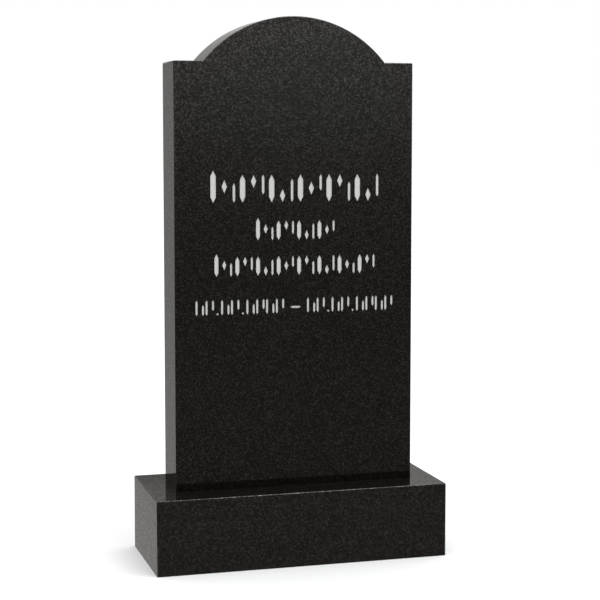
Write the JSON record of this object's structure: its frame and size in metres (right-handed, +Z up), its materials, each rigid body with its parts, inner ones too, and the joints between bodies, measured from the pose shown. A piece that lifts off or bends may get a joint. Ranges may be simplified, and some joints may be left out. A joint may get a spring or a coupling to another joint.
{
  "type": "headstone",
  "caption": "Arched upright memorial slab on a rectangular plinth, polished dark stone, with rows of shallow abstract strokes on its front face.",
  "frame": {"origin": "middle of the plinth's underside, on the ground", "axes": "+Z up; the inscribed front face looks along -Y; +X is to the right of someone who faces the inscription"},
  "size_m": [0.6, 0.25, 1.095],
  "materials": {
    "stele_stone": "mirror-polished black gabbro with fine grey grain; the cut strokes are frosted pale grey",
    "plinth_stone": "mirror-polished black gabbro with fine grey grain"
  },
  "bodies": {
    "root": {"stele": "stele_stone", "plinth": "plinth_stone"}
  },
  "joints": []
}
